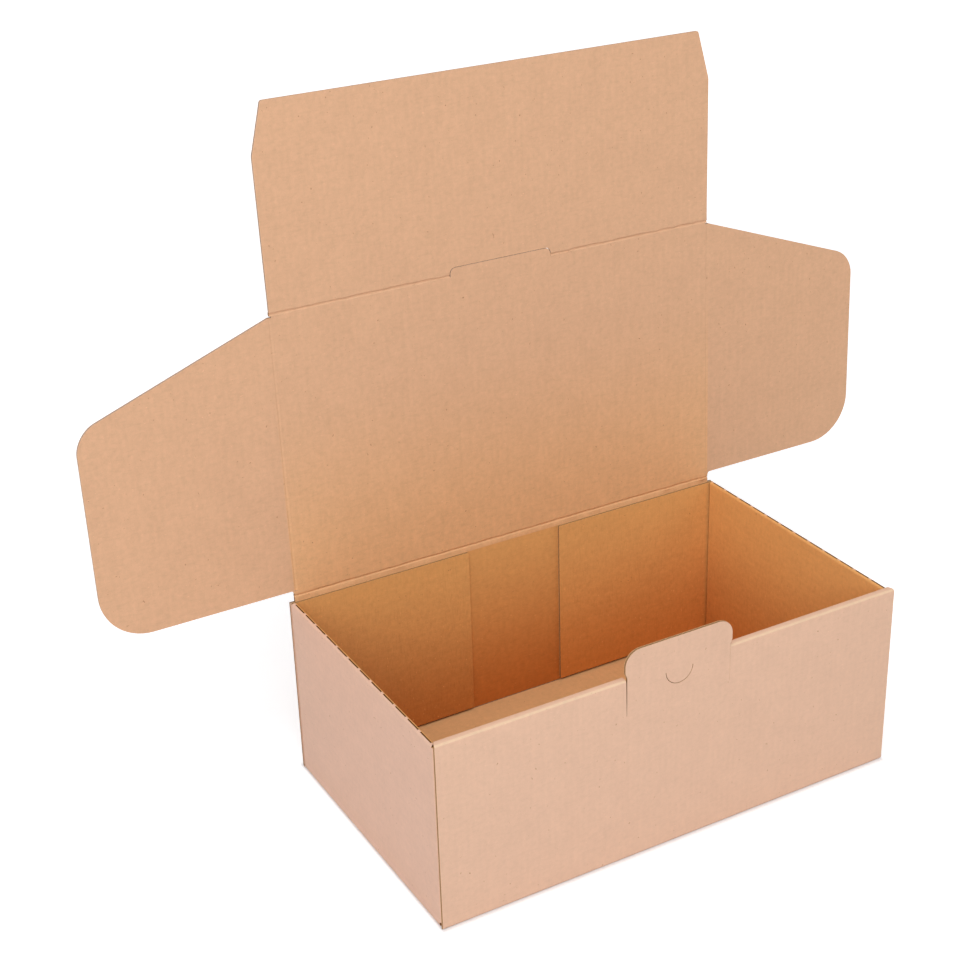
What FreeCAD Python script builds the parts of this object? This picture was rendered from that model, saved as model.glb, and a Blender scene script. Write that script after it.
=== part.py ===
"""Die-cut corrugated mailer box, standing open, in millimetres.

One blank of thin fluted board is folded into a tray, a lid, two side flaps and a tuck flap.
The tray's front and end walls are rolled over double, and a tongue stands up in the front wall.
Origin: centre of the tray's underside. +Z is up, the front wall faces -Y, the lid is hinged at +Y.
"""
import FreeCAD, Part
import math
import os

from FreeCAD import Vector

# Board
BOARD = 1.3              # thickness of the fluted board
PLY_GAP = 0.2            # air left between two plies that lie against each other
RUN_GAP = 0.3            # clearance of everything that moves
BEND_INSIDE = 0.2        # inside radius of a folded edge
TOP_ROUND = 1.3          # outside radius of a rolled-over top edge
KERF = 0.4               # width of a cut through the board
CUT_CORNER = 1.2         # radius of a small die-cut corner

# Tray, outside sizes
TRAY_LENGTH = 252.0
TRAY_WIDTH = 150.0
WALL_HEIGHT = 98.0       # front and back walls
END_DROP = 1.5           # how much lower the end walls are

# Corner flaps, which fold off the end walls and lie along the front and back walls
CORNER_FLAP_DROP = 0.5   # below the end walls' top
CORNER_FLAP_BOTTOM = 2.5
BACK_FLAP_REACH = 99.0
FRONT_FLAP_REACH = 93.0

# Perforated fold along the top of each end wall
PERF_COUNT = 12
PERF_CUT = 9.6
PERF_TIE = 2.2
PERF_OPENING = 0.8
PERF_DEPTH = 1.6

# Locking tabs at the foot of the rolled-over plies, and the slots they stand in
TAB_WIDTH = 20.0
TAB_LIFT = 0.2           # how far the tab's end stays above the tray's underside
END_TAB_PLACE = 38.0
FRONT_TAB_PLACE = 78.0

# Tongue of the front wall
TONGUE_NECK = 56.8
TONGUE_HEAD = 58.8
TONGUE_RISE = 14.5       # above the front wall's top
TONGUE_CORNER = 8.0
SLIT_DEPTH = 19.0        # below the front wall's top
TONGUE_NOTCH_DEPTH = 10.0
THUMB_RADIUS = 7.4
THUMB_BELOW_TOP = 3.0

# Lid
LID_OPEN_ANGLE = 92.0    # how far the lid stands open, 0 is closed
LID_SEAT = 0.3           # air between the closed lid and the front wall
BUMP_WIDTH = 56.0
BUMP_CORNER = 3.0

# Side flaps of the lid
FLAP_REACH = 96.8
FLAP_BACK_GAP = 0.6      # behind the folded side flap, to the corner flap
FLAP_FRONT_GAP = 0.55    # before the folded side flap, to the folded tuck flap
FLAP_TAPER = 35.0
FLAP_LOW_CORNER = 24.0
FLAP_TOP_CORNER = 15.0
FLAP_ROOT_RELIEF = 1.6

# Tuck flap of the lid
TUCK_REACH = 97.0
TUCK_SHOULDER = 73.0
TUCK_CHAMFER = 6.3
TUCK_ROOT_INSET = 0.7

# What follows from these
HALF_LENGTH = TRAY_LENGTH / 2
HALF_WIDTH = TRAY_WIDTH / 2
HALF_BOARD = BOARD / 2
BEND_OUTSIDE = BEND_INSIDE + BOARD
PLY_PITCH = BOARD + PLY_GAP
END_HEIGHT = WALL_HEIGHT - END_DROP
CORNER_FLAP_TOP = END_HEIGHT - CORNER_FLAP_DROP
END_INSIDE = HALF_LENGTH - BOARD - PLY_PITCH
FRONT_INSIDE = HALF_WIDTH - BOARD - 2 * PLY_PITCH
FLOOR_GAP_TOP = BOARD + PLY_GAP

HINGE_Y = HALF_WIDTH - HALF_BOARD
HINGE_Z = WALL_HEIGHT + LID_SEAT + HALF_BOARD
ROOT_EDGE = HALF_BOARD + RUN_GAP      # from a fold's axis to the edge of the panel that carries it
LID_DEPTH = HINGE_Y + FRONT_INSIDE - RUN_GAP - HALF_BOARD
FLAP_AXIS = END_INSIDE - RUN_GAP - HALF_BOARD
LID_SIDE = FLAP_AXIS - ROOT_EDGE

TONGUE_INNER = HINGE_Y + HALF_WIDTH - BOARD      # the tongue's two faces, from the lid's hinge
TONGUE_OUTER = HINGE_Y + HALF_WIDTH
TONGUE_TOP = WALL_HEIGHT + TONGUE_RISE
BUMP_END = TONGUE_INNER - RUN_GAP


def rounded_face(corners, place):
    """A flat face from corners (u, v, radius); place turns (u, v) into a point in space."""
    edges = []
    ends = []
    count = len(corners)
    for i, corner in enumerate(corners):
        here = Vector(corner[0], corner[1], 0)
        radius = corner[2] if len(corner) > 2 else 0.0
        if radius <= 0:
            ends.append((here, here, None))
            continue
        before = Vector(corners[i - 1][0], corners[i - 1][1], 0)
        after = Vector(corners[(i + 1) % count][0], corners[(i + 1) % count][1], 0)
        into = (before - here).normalize()
        out = (after - here).normalize()
        half_angle = into.getAngle(out) / 2
        leg = radius / math.tan(half_angle)
        middle = (into + out).normalize()
        centre = here + middle * (radius / math.sin(half_angle))
        ends.append((here + into * leg, here + out * leg, centre - middle * radius))
    for i, (start, stop, crown) in enumerate(ends):
        if crown is not None:
            edges.append(Part.Arc(place(start), place(crown), place(stop)).toShape())
        following = ends[(i + 1) % count][0]
        if (following - stop).Length > 1e-6:
            edges.append(Part.LineSegment(place(stop), place(following)).toShape())
    return Part.Face(Part.Wire(edges))


def block(low, high):
    """A box between two corners."""
    size = [b - a for a, b in zip(low, high)]
    return Part.makeBox(size[0], size[1], size[2], Vector(*low))


def mirrored_x(shape):
    return shape.mirror(Vector(0, 0, 0), Vector(1, 0, 0))


def one_solid(shape, pieces, cuts=()):
    """The shape joined with its pieces and cut, with the seams between coplanar faces removed."""
    joined = shape.multiFuse(list(pieces)) if pieces else shape
    if cuts:
        joined = joined.cut(Part.makeCompound(list(cuts)))
    joined = joined.removeSplitter()
    if len(joined.Solids) != 1:
        raise ValueError("the folded panel fell into %d solids" % len(joined.Solids))
    return joined.Solids[0]


def end_wall_section():
    """The right end wall across its folds: up from the base, over the top and down inside."""
    outer = HALF_LENGTH
    inner = END_INSIDE
    corners = [
        (outer - BEND_OUTSIDE, 0),
        (outer, 0, BEND_OUTSIDE),
        (outer, END_HEIGHT, TOP_ROUND),
        (inner, END_HEIGHT, TOP_ROUND),
        (inner, FLOOR_GAP_TOP),
        (inner + BOARD, FLOOR_GAP_TOP),
        (inner + BOARD, END_HEIGHT - BOARD),
        (outer - BOARD, END_HEIGHT - BOARD),
        (outer - BOARD, BOARD, BEND_INSIDE),
        (outer - BEND_OUTSIDE, BOARD),
    ]
    front = -FRONT_INSIDE + PLY_GAP
    back = HALF_WIDTH - BOARD - PLY_PITCH - PLY_GAP
    face = rounded_face(corners, lambda p: Vector(p.x, front, p.y))
    return face.extrude(Vector(0, back - front, 0))


def corner_ribbon():
    """The right end wall's outer ply seen from above, with the flaps that turn round both corners."""
    outer = HALF_LENGTH
    line = HALF_WIDTH - PLY_PITCH
    corners = [
        (outer - FRONT_FLAP_REACH, -line, 0),
        (outer, -line, BEND_OUTSIDE),
        (outer, line, BEND_OUTSIDE),
        (outer - BACK_FLAP_REACH, line, 0),
        (outer - BACK_FLAP_REACH, line - BOARD, 0),
        (outer - BOARD, line - BOARD, BEND_INSIDE),
        (outer - BOARD, -line + BOARD, BEND_INSIDE),
        (outer - FRONT_FLAP_REACH, -line + BOARD, 0),
    ]
    face = rounded_face(corners, lambda p: Vector(p.x, p.y, CORNER_FLAP_BOTTOM))
    return face.extrude(Vector(0, 0, CORNER_FLAP_TOP - CORNER_FLAP_BOTTOM))


def front_wall_section():
    """The front wall across its folds: outer ply, rolled top, and inner ply down to the floor."""
    outer = -HALF_WIDTH
    inner = -FRONT_INSIDE
    corners = [
        (outer + BEND_OUTSIDE, 0),
        (outer, 0, BEND_OUTSIDE),
        (outer, WALL_HEIGHT, TOP_ROUND),
        (inner, WALL_HEIGHT, TOP_ROUND),
        (inner, FLOOR_GAP_TOP),
        (inner - BOARD, FLOOR_GAP_TOP),
        (inner - BOARD, WALL_HEIGHT - BOARD, BEND_INSIDE),
        (outer + BOARD, WALL_HEIGHT - BOARD, BEND_INSIDE),
        (outer + BOARD, BOARD, BEND_INSIDE),
        (outer + BEND_OUTSIDE, BOARD),
    ]
    face = rounded_face(corners, lambda p: Vector(-HALF_LENGTH, p.x, p.y))
    return face.extrude(Vector(TRAY_LENGTH, 0, 0))


def back_wall_section():
    """The back wall across its fold, up to the edge below the lid's hinge."""
    outer = HALF_WIDTH
    corners = [
        (outer - BEND_OUTSIDE, 0),
        (outer - BEND_OUTSIDE, BOARD),
        (outer - BOARD, BOARD, BEND_INSIDE),
        (outer - BOARD, WALL_HEIGHT),
        (outer, WALL_HEIGHT),
        (outer, 0, BEND_OUTSIDE),
    ]
    face = rounded_face(corners, lambda p: Vector(-HALF_LENGTH, p.x, p.y))
    return face.extrude(Vector(TRAY_LENGTH, 0, 0))


def tongue_plate():
    """The tongue, from the foot of its slits to its rounded top, in the plane of the front ply."""
    neck = TONGUE_NECK / 2
    head = TONGUE_HEAD / 2
    foot = WALL_HEIGHT - SLIT_DEPTH
    throat = WALL_HEIGHT + CUT_CORNER
    shoulder = throat + (head - neck) * 2
    half = [
        (neck, foot),
        (neck, throat, CUT_CORNER),
        (head, shoulder, CUT_CORNER),
        (head, TONGUE_TOP, TONGUE_CORNER),
    ]
    other = [(-c[0],) + tuple(c[1:]) for c in reversed(half)]
    face = rounded_face(half + other, lambda p: Vector(p.x, -HALF_WIDTH, p.y))
    plate = face.extrude(Vector(0, BOARD, 0))

    # A half-moon cut for the thumb
    centre = Vector(0, -HALF_WIDTH - BOARD, WALL_HEIGHT - THUMB_BELOW_TOP)
    disc = Part.makeCylinder(THUMB_RADIUS + KERF / 2, 3 * BOARD, centre, Vector(0, 1, 0))
    core = Part.makeCylinder(THUMB_RADIUS - KERF / 2, 3 * BOARD, centre, Vector(0, 1, 0))
    lower = block(
        (-2 * THUMB_RADIUS, centre.y, centre.z - 2 * THUMB_RADIUS),
        (2 * THUMB_RADIUS, centre.y + 3 * BOARD, centre.z),
    )
    return plate.cut(disc.cut(core).common(lower))


def end_perforation():
    """The cuts along the top of the right end wall, with ties of board left between them."""
    middle = (HALF_LENGTH + END_INSIDE) / 2
    pitch = PERF_CUT + PERF_TIE
    first = -pitch * (PERF_COUNT - 1) / 2
    cuts = []
    for i in range(PERF_COUNT):
        y = first + i * pitch
        low = (middle - PERF_OPENING / 2, y - PERF_CUT / 2, END_HEIGHT - PERF_DEPTH)
        high = (middle + PERF_OPENING / 2, y + PERF_CUT / 2, END_HEIGHT + BOARD)
        cuts.append(block(low, high))
    return cuts


def end_tabs():
    """Locking tabs at the foot of the right end's inner ply, and the slots for them."""
    tabs = []
    slots = []
    for y in (-END_TAB_PLACE, END_TAB_PLACE):
        low = (END_INSIDE, y - TAB_WIDTH / 2, TAB_LIFT)
        high = (END_INSIDE + BOARD, y + TAB_WIDTH / 2, FLOOR_GAP_TOP + BOARD)
        tabs.append(block(low, high))
        low = (END_INSIDE - PLY_GAP, y - TAB_WIDTH / 2 - PLY_GAP, -BOARD)
        high = (END_INSIDE + BOARD + PLY_GAP, y + TAB_WIDTH / 2 + PLY_GAP, FLOOR_GAP_TOP)
        slots.append(block(low, high))
    return tabs, slots


def front_tabs():
    """The same tabs and slots at the foot of the front wall's inner ply."""
    tabs = []
    slots = []
    for x in (-FRONT_TAB_PLACE, FRONT_TAB_PLACE):
        low = (x - TAB_WIDTH / 2, -FRONT_INSIDE - BOARD, TAB_LIFT)
        high = (x + TAB_WIDTH / 2, -FRONT_INSIDE, FLOOR_GAP_TOP + BOARD)
        tabs.append(block(low, high))
        low = (x - TAB_WIDTH / 2 - PLY_GAP, -FRONT_INSIDE - BOARD - PLY_GAP, -BOARD)
        high = (x + TAB_WIDTH / 2 + PLY_GAP, -FRONT_INSIDE + PLY_GAP, FLOOR_GAP_TOP)
        slots.append(block(low, high))
    return tabs, slots


def front_wall():
    """The rolled-over front wall with the tongue cut free in it."""
    wall = front_wall_section()
    side = HALF_LENGTH - BOARD - PLY_GAP
    over = WALL_HEIGHT + BOARD
    behind = -HALF_WIDTH + BOARD
    cuts = []
    for sign in (-1, 1):
        # The rolled top and the inner ply end between the end walls' outer plies
        x_near, x_far = sorted((sign * side, sign * (HALF_LENGTH + BOARD)))
        cuts.append(block((x_near, behind, BEND_OUTSIDE), (x_far, -FRONT_INSIDE + BOARD, over)))
    slit = TONGUE_NECK / 2 + KERF
    foot = WALL_HEIGHT - SLIT_DEPTH
    notch = WALL_HEIGHT - TONGUE_NOTCH_DEPTH
    cuts.append(block((-slit, -HALF_WIDTH - BOARD, foot), (slit, behind, over)))
    cuts.append(block((-slit, behind, notch), (slit, -FRONT_INSIDE + BOARD, over)))
    return wall.cut(Part.makeCompound(cuts)).fuse(tongue_plate())


def tray():
    """Base, back wall, both end walls with their corner flaps, and the front wall, as one sheet."""
    base_x = HALF_LENGTH - BEND_OUTSIDE
    base_y = HALF_WIDTH - BEND_OUTSIDE
    base = block((-base_x, -base_y, 0), (base_x, base_y, BOARD))
    end = end_wall_section().cut(Part.makeCompound(end_perforation()))
    ribbon = corner_ribbon()
    end_tab, end_slot = end_tabs()
    front_tab, front_slot = front_tabs()
    slots = end_slot + [mirrored_x(s) for s in end_slot] + front_slot
    floor = base.cut(Part.makeCompound(slots))
    ends = [end.cut(Part.makeCompound(end_slot)), ribbon] + end_tab
    pieces = [back_wall_section(), front_wall()]
    pieces += ends + [mirrored_x(s) for s in ends] + front_tab
    return one_solid(floor, pieces)


def on_lid(p, out=0.0):
    """A point of the closed lid: x, and the distance from its hinge, on its middle plane."""
    return Vector(p.x, HINGE_Y - p.y, HINGE_Z + out)


def root_round(start, along, length):
    """The rounded edge of a panel at its fold, centred on the fold's axis."""
    return Part.makeCylinder(HALF_BOARD, length, start, along)


def sheet(corners):
    """A flat panel of board in the closed lid's plane."""
    face = rounded_face(corners, lambda p: on_lid(p, -HALF_BOARD))
    return face.extrude(Vector(0, 0, BOARD))


def lid():
    """The lid's top panel, with the bump that stands into the tuck flap's cut-out."""
    edge = LID_DEPTH - ROOT_EDGE
    half = [
        (LID_SIDE, 0),
        (LID_SIDE, edge, CUT_CORNER),
        (BUMP_WIDTH / 2, edge),
        (BUMP_WIDTH / 2, BUMP_END, BUMP_CORNER),
    ]
    other = [(-c[0],) + tuple(c[1:]) for c in reversed(half)]
    root = root_round(on_lid(Vector(-LID_SIDE, 0, 0)), Vector(1, 0, 0), 2 * LID_SIDE)
    return one_solid(sheet(half + other), [root])


def side_flap():
    """The right side flap, flat beside the lid."""
    low = BOARD + PLY_PITCH + FLAP_BACK_GAP - HALF_BOARD
    high = LID_DEPTH - HALF_BOARD - FLAP_FRONT_GAP
    corners = [
        (FLAP_AXIS, low + FLAP_ROOT_RELIEF),
        (FLAP_AXIS + FLAP_ROOT_RELIEF, low, CUT_CORNER),
        (FLAP_AXIS + FLAP_REACH, low, FLAP_LOW_CORNER),
        (FLAP_AXIS + FLAP_REACH, high - FLAP_TAPER, FLAP_TOP_CORNER),
        (FLAP_AXIS, high),
    ]
    start = on_lid(Vector(FLAP_AXIS, high, 0))
    root = root_round(start, Vector(0, 1, 0), high - low - FLAP_ROOT_RELIEF)
    return one_solid(sheet(corners), [root])


def tuck_flap():
    """The tuck flap, flat before the lid, with a cut-out round the bump that the tongue passes."""
    side = END_INSIDE - RUN_GAP
    # The tongue's top meets the flap while the lid is still this much open
    lift = math.asin((TONGUE_TOP - HINGE_Z) / TONGUE_OUTER)
    cut_end = (TONGUE_OUTER + RUN_GAP + HALF_BOARD * math.sin(lift)) / math.cos(lift)
    cut_side = TONGUE_HEAD / 2 + RUN_GAP
    tip = LID_DEPTH + TUCK_REACH
    shoulder = LID_DEPTH + TUCK_SHOULDER
    half = [
        (cut_side, cut_end, CUT_CORNER),
        (cut_side, LID_DEPTH),
        (side - TUCK_ROOT_INSET, LID_DEPTH),
        (side, shoulder, CUT_CORNER),
        (side - TUCK_CHAMFER, tip, CUT_CORNER),
    ]
    other = [(-c[0],) + tuple(c[1:]) for c in reversed(half)]
    length = LID_SIDE - cut_side
    right = root_round(on_lid(Vector(cut_side, LID_DEPTH, 0)), Vector(1, 0, 0), length)
    return one_solid(sheet(half + other), [right, mirrored_x(right)])


def opened(shape):
    """The lid's parts turned about the hinge to the angle at which the lid stands open."""
    turned = shape.copy()
    turned.rotate(Vector(0, HINGE_Y, HINGE_Z), Vector(1, 0, 0), -LID_OPEN_ANGLE)
    return turned


def build():
    right = side_flap()
    return {
        "tray": tray(),
        "lid": opened(lid()),
        "left_side_flap": opened(mirrored_x(right)),
        "right_side_flap": opened(right),
        "tuck_flap": opened(tuck_flap()),
    }


os.makedirs("parts", exist_ok=True)
for name, solid in build().items():
    solid.exportStep("parts/%s.step" % name)
    box = solid.BoundBox
    print(name, "valid", solid.isValid(), "volume", round(solid.Volume, 1),
          "x", round(box.XMin, 2), round(box.XMax, 2), "y", round(box.YMin, 2), round(box.YMax, 2),
          "z", round(box.ZMin, 2), round(box.ZMax, 2))
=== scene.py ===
from math import cos, pi, radians, sin

import bmesh
import bpy
from mathutils import Matrix, Vector


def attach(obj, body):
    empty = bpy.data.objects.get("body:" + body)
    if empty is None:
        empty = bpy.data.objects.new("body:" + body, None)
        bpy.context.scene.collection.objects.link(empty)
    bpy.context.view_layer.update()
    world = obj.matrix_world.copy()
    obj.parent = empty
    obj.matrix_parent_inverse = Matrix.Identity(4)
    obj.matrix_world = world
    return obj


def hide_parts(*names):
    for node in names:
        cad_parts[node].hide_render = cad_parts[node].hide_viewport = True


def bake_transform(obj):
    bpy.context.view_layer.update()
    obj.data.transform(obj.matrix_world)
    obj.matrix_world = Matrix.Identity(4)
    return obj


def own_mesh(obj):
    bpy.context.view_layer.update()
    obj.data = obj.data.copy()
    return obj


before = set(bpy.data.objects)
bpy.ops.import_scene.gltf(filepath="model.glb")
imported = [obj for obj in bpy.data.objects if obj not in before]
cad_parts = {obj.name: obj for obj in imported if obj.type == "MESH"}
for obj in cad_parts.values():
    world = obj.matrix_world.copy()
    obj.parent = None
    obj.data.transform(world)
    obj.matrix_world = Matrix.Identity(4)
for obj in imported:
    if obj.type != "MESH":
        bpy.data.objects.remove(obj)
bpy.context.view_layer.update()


# Base of the tray: the middle panel of the blank, one layer of fine-fluted board that lies on the table.
# Slots near both ends and behind the front wall take the locking tabs of the rolled-over plies.
# Its inside shows the brown liner, painted warmer for light bounced off the brown walls; its flutes run
# from front to back.
MM = 0.001
HAIR = 0.01                  # a place this close to a line, in mm, counts as on it
BOARD = 1.3
PLY_GAP = 0.2
LINER_PLY = 0.2
EDGE_GROOVE = 0.15           # how deep the fluted middle lies behind the liners at a cut edge
EDGE_EASE = 0.07
SMOOTH_ANGLE = 35
OUTSIDE, INSIDE, RAW = 0, 1, 2   # the places of a piece's finishes: outside liner, inside liner, cut edge
HALF_LENGTH = 126.0
HALF_WIDTH = 75.0
FLUTE = 3.0                  # from one flute to the next
BASE_REACH = (HALF_LENGTH - BOARD - PLY_GAP, HALF_WIDTH - BOARD - PLY_GAP)
END_PLY = HALF_LENGTH - BOARD / 2
END_INNER_PLY = END_PLY - BOARD - PLY_GAP
FRONT_PLY = -HALF_WIDTH + BOARD / 2
FRONT_INNER_PLY = FRONT_PLY + 2 * (BOARD + PLY_GAP)
TAB_WIDTH = 20.0
END_TABS = (-38.0, 38.0)
FRONT_TABS = (-78.0, 78.0)

OUTSIDE_KRAFT = (0.75, 0.485, 0.342)
# the base's inside liner, painted less blue than the lid's same paper: painted bounce light off the walls
FLOOR_BOUNCE_KRAFT = (0.70, 0.405, 0.185)
CUT_KRAFT = (0.40, 0.19, 0.07)
SPECK = (0.34, 0.14, 0.055)


def select(kind, test):
    """Selects the vertices, edges or faces whose middle and every corner, in mm, pass the test."""
    bpy.ops.mesh.select_mode(type=kind)
    bpy.ops.mesh.select_all(action="DESELECT")
    shape = bmesh.from_edit_mesh(bpy.context.object.data)
    parts = {"VERT": shape.verts, "EDGE": shape.edges, "FACE": shape.faces}[kind]
    for part in parts:
        places = [part.co] if kind == "VERT" else [corner.co for corner in part.verts]
        places.append(sum(places, Vector()) / len(places))
        if all(test(*(place / MM)) for place in places):
            part.select_set(True)
    bmesh.update_edit_mesh(bpy.context.object.data)


def start_panel(name, low, high, turn=(0, 0, 0)):
    """Opens a new flat panel between two corners in mm, seen along its own Z, in edit mode."""
    low, high = Vector(low), Vector(high)
    bpy.ops.object.select_all(action="DESELECT")
    bpy.ops.mesh.primitive_plane_add(size=1, location=(low + high) / 2 * MM, rotation=turn)
    panel = bpy.context.object
    panel.name = name
    panel.data.name = name
    size = Matrix.LocRotScale(None, panel.rotation_euler, None).transposed() @ (high - low)
    panel.scale = (abs(size.x) * MM, abs(size.y) * MM, 1)
    bpy.ops.object.transform_apply(location=True, rotation=True, scale=True)
    bpy.ops.object.mode_set(mode="EDIT")
    return panel


def everywhere(x, y, z):
    return True


def score(axis, places, test=everywhere):
    """Divides the chosen faces along straight lines square to one axis."""
    normal = {"X": (1, 0, 0), "Y": (0, 1, 0), "Z": (0, 0, 1)}[axis]
    for place in places:
        select("FACE", test)
        bpy.ops.mesh.bisect(plane_co=Vector(normal) * place * MM, plane_no=normal)


def cut_away(test):
    select("FACE", test)
    bpy.ops.mesh.delete(type="FACE")


def face_outside(towards):
    """Turns the sheet so that its outside liner looks the given way."""
    bpy.ops.mesh.select_all(action="SELECT")
    bpy.ops.mesh.remove_doubles(threshold=0.002 * MM)
    bpy.ops.mesh.normals_make_consistent(inside=False)
    shape = bmesh.from_edit_mesh(bpy.context.object.data)
    if sum(face.calc_area() * face.normal.dot(towards) for face in shape.faces) < 0:
        bpy.ops.mesh.flip_normals()


def thicken(panel, outside, inside, cut_edges):
    """Gives the sheet the board's thickness: outside liner, inside liner and cut edges."""
    bpy.ops.object.mode_set(mode="OBJECT")
    for finish in (outside, inside, cut_edges):
        panel.data.materials.append(finish)
    thick = panel.modifiers.new("thickness", "SOLIDIFY")
    thick.thickness = BOARD * MM
    thick.offset = 0
    thick.use_even_offset = True
    thick.use_quality_normals = True
    thick.material_offset = INSIDE
    thick.material_offset_rim = RAW
    bpy.ops.object.modifier_apply(modifier="thickness")


def trim_edges(panel, cut=everywhere):
    """Presses a shallow groove between the liners along the cut edges, and takes their sharpness off."""
    bpy.ops.object.mode_set(mode="EDIT")
    bpy.ops.mesh.select_mode(type="FACE")
    bpy.ops.mesh.select_all(action="DESELECT")
    shape = bmesh.from_edit_mesh(panel.data)
    for face in shape.faces:
        face.select_set(face.material_index == RAW and cut(*(face.calc_center_median() / MM)))
    bmesh.update_edit_mesh(panel.data)
    bpy.ops.mesh.inset(thickness=LINER_PLY * MM, depth=-EDGE_GROOVE * MM, use_even_offset=False)
    bpy.ops.mesh.select_mode(type="EDGE")
    bpy.ops.mesh.select_all(action="DESELECT")
    shape = bmesh.from_edit_mesh(panel.data)
    for edge in shape.edges:
        kinds = {face.material_index for face in edge.link_faces}
        middle = (edge.verts[0].co + edge.verts[1].co) / 2 / MM
        edge.select_set(RAW in kinds and len(kinds) == 2 and cut(*middle))
    bmesh.update_edit_mesh(panel.data)
    bpy.ops.mesh.bevel(offset=EDGE_EASE * MM, segments=1, affect="EDGES", clamp_overlap=False)
    bpy.ops.object.mode_set(mode="OBJECT")
    bpy.ops.object.shade_smooth_by_angle(angle=radians(SMOOTH_ANGLE))


def make_board(panel, outside, inside, cut_edges, cut=everywhere):
    thicken(panel, outside, inside, cut_edges)
    trim_edges(panel, cut=cut)


class Pulp:
    """A value inside a board material. Arithmetic on values adds the nodes that work it out."""

    def __init__(self, tree, socket=None):
        self.tree = tree
        self.socket = socket

    def node(self, kind, settings=None, values=None, result=0):
        made = self.tree.nodes.new(kind)
        for key, value in (settings or {}).items():
            setattr(made, key, value)
        for key, value in (values or {}).items():
            if isinstance(value, Pulp):
                self.tree.links.new(value.socket, made.inputs[key])
            else:
                made.inputs[key].default_value = value
        return Pulp(self.tree, made.outputs[result])

    def maths(self, operation, *terms):
        return self.node("ShaderNodeMath", {"operation": operation}, dict(enumerate(terms)))

    def __add__(self, other):
        return self.maths("ADD", self, other)

    def __sub__(self, other):
        return self.maths("SUBTRACT", self, other)

    def __mul__(self, other):
        return self.maths("MULTIPLY", self, other)

    def __rsub__(self, other):
        return self.maths("SUBTRACT", other, self)

    __radd__ = __add__
    __rmul__ = __mul__

    def sine(self):
        return self.maths("SINE", self)

    def size(self):
        return self.maths("ABSOLUTE", self)

    def noise(self, size, detail=2.0, stretch=(1, 1, 1)):
        """Cloudy values round 0, with clouds about size mm across, drawn out by stretch."""
        scale = [1 / (size * s) for s in stretch]
        drawn = self.node("ShaderNodeVectorMath", {"operation": "MULTIPLY"}, {0: self, 1: scale})
        cloud = self.node("ShaderNodeTexNoise", None, {"Vector": drawn, "Scale": 1.0, "Detail": detail})
        return cloud - 0.5

    def step(self, low, high):
        """0 below low, 1 above high, smooth between."""
        kind = {"interpolation_type": "SMOOTHSTEP"}
        return self.node("ShaderNodeMapRange", kind, {"Value": self, "From Min": low, "From Max": high})

    def mix(self, first, second):
        """A colour between two, with this value as the share of the second."""
        return self.node("ShaderNodeMix", {"data_type": "RGBA"}, {0: self, 6: first, 7: second}, 2)


def shade(colour, factor):
    return tuple(c * factor for c in colour) + (1.0,)


def lie(across, along):
    """The turn of a panel whose flutes run along one direction and follow each other in the other."""
    across, along = Vector(across).normalized(), Vector(along).normalized()
    return Matrix((across, along, across.cross(along))).transposed().to_euler()


def new_finish(name, middle, turn):
    """A material, its shader, and the place on the panel in mm: across the flutes, along them, through."""
    finish = bpy.data.materials.new(name)
    finish.use_nodes = True
    tree = finish.node_tree
    place = Pulp(tree).node("ShaderNodeTexCoord", None, None, "Object")
    laid = {"Vector": place, "Location": Vector(middle) * MM, "Rotation": turn, "Scale": (MM, MM, MM)}
    place = place.node("ShaderNodeMapping", {"vector_type": "TEXTURE"}, laid)
    return finish, tree.nodes["Principled BSDF"], place


def liner(name, colour, middle, turn, grain=1.0, painted_tone=None):
    """Brown kraft paper: cloudy, streaked along the flutes, with short dashes across and fine specks.
    The painted tone is painted shade and bounce light: a warmer colour that it turns to between two
    heights, low down among brown walls."""
    finish, shader, place = new_finish(name, middle, turn)
    across = place.node("ShaderNodeSeparateXYZ", None, {0: place}, 0)
    cloud = place.noise(16, 3)
    patch = place.noise(2.4, 3)
    streak = place.noise(3.0, 2, (1, 5, 1))
    dash = place.noise(0.9, 1, (5, 1, 1)).step(0.02, 0.22)
    fibre = place.noise(0.5, 3, (1, 2, 1))
    flute = ((across + place.noise(30, 1) * 1.2) * (2 * pi / FLUTE)).sine()
    mottle = patch * 0.65 + streak * 0.3 - dash * 0.13 + fibre * 0.55
    tone = 0.5 + cloud * 0.5 + mottle * grain + flute * 0.03
    paper = tone.mix(shade(colour, 0.91), shade(colour, 1.08))
    if painted_tone:
        warm, foot, head = painted_tone
        spot = place.node("ShaderNodeTexCoord", None, None, "Object")
        height = place.node("ShaderNodeSeparateXYZ", None, {0: spot}, 2) * (1 / MM) + mottle * 14
        paper = height.step(foot, head).mix(tone.mix(shade(warm, 0.89), shade(warm, 1.11)), paper)
    dark = place.noise(1.7, 1, (0.8, 1.2, 1)).step(0.26, 0.30)
    pale = place.noise(1.0, 1, (1.6, 0.8, 1)).step(0.24, 0.3)
    paper = (dark * (0.5 + cloud * 1.5)).mix(paper, shade(SPECK, 1.0))
    paper = (pale * 0.3 * grain).mix(paper, shade(colour, 1.3))
    relief = flute * 0.012 + fibre * 0.04 + dash * 0.02 + patch * 0.05
    relief = relief.node("ShaderNodeBump", None, {"Strength": 0.6, "Distance": MM, "Height": relief})
    rough = 0.74 + fibre * 0.2
    for socket, value in (("Base Color", paper), ("Roughness", rough), ("Normal", relief)):
        place.tree.links.new(value.socket, shader.inputs[socket])
    shader.inputs["Specular IOR Level"].default_value = 0.32
    return finish


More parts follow.
